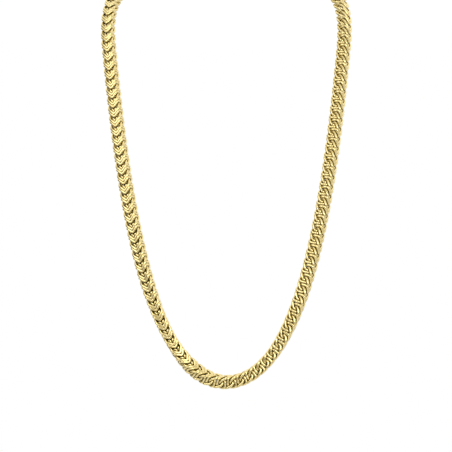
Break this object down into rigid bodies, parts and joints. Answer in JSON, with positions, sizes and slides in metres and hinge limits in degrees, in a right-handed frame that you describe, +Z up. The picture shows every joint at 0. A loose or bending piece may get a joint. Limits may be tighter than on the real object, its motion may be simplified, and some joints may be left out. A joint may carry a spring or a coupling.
{
  "type": "square V-link neck chain",
  "caption": "Long polished yellow gold neck chain of square section, woven from interlocking V-shaped links, hanging from the nape in a deep open curve.",
  "frame": {"origin": "where the inner side of the clasp rests on the nape", "axes": "+Z up, +X to the viewer's right across the necklace, -Y out of the front towards the viewer"},
  "size_m": [0.1304, 0.0964, 0.2196],
  "materials": {
    "chain_gold": "polished yellow gold",
    "clasp_gold": "polished yellow gold"
  },
  "bodies": {
    "root": {"chain_left": "chain_gold", "chain_right": "chain_gold", "clasp": "clasp_gold"}
  },
  "joints": []
}
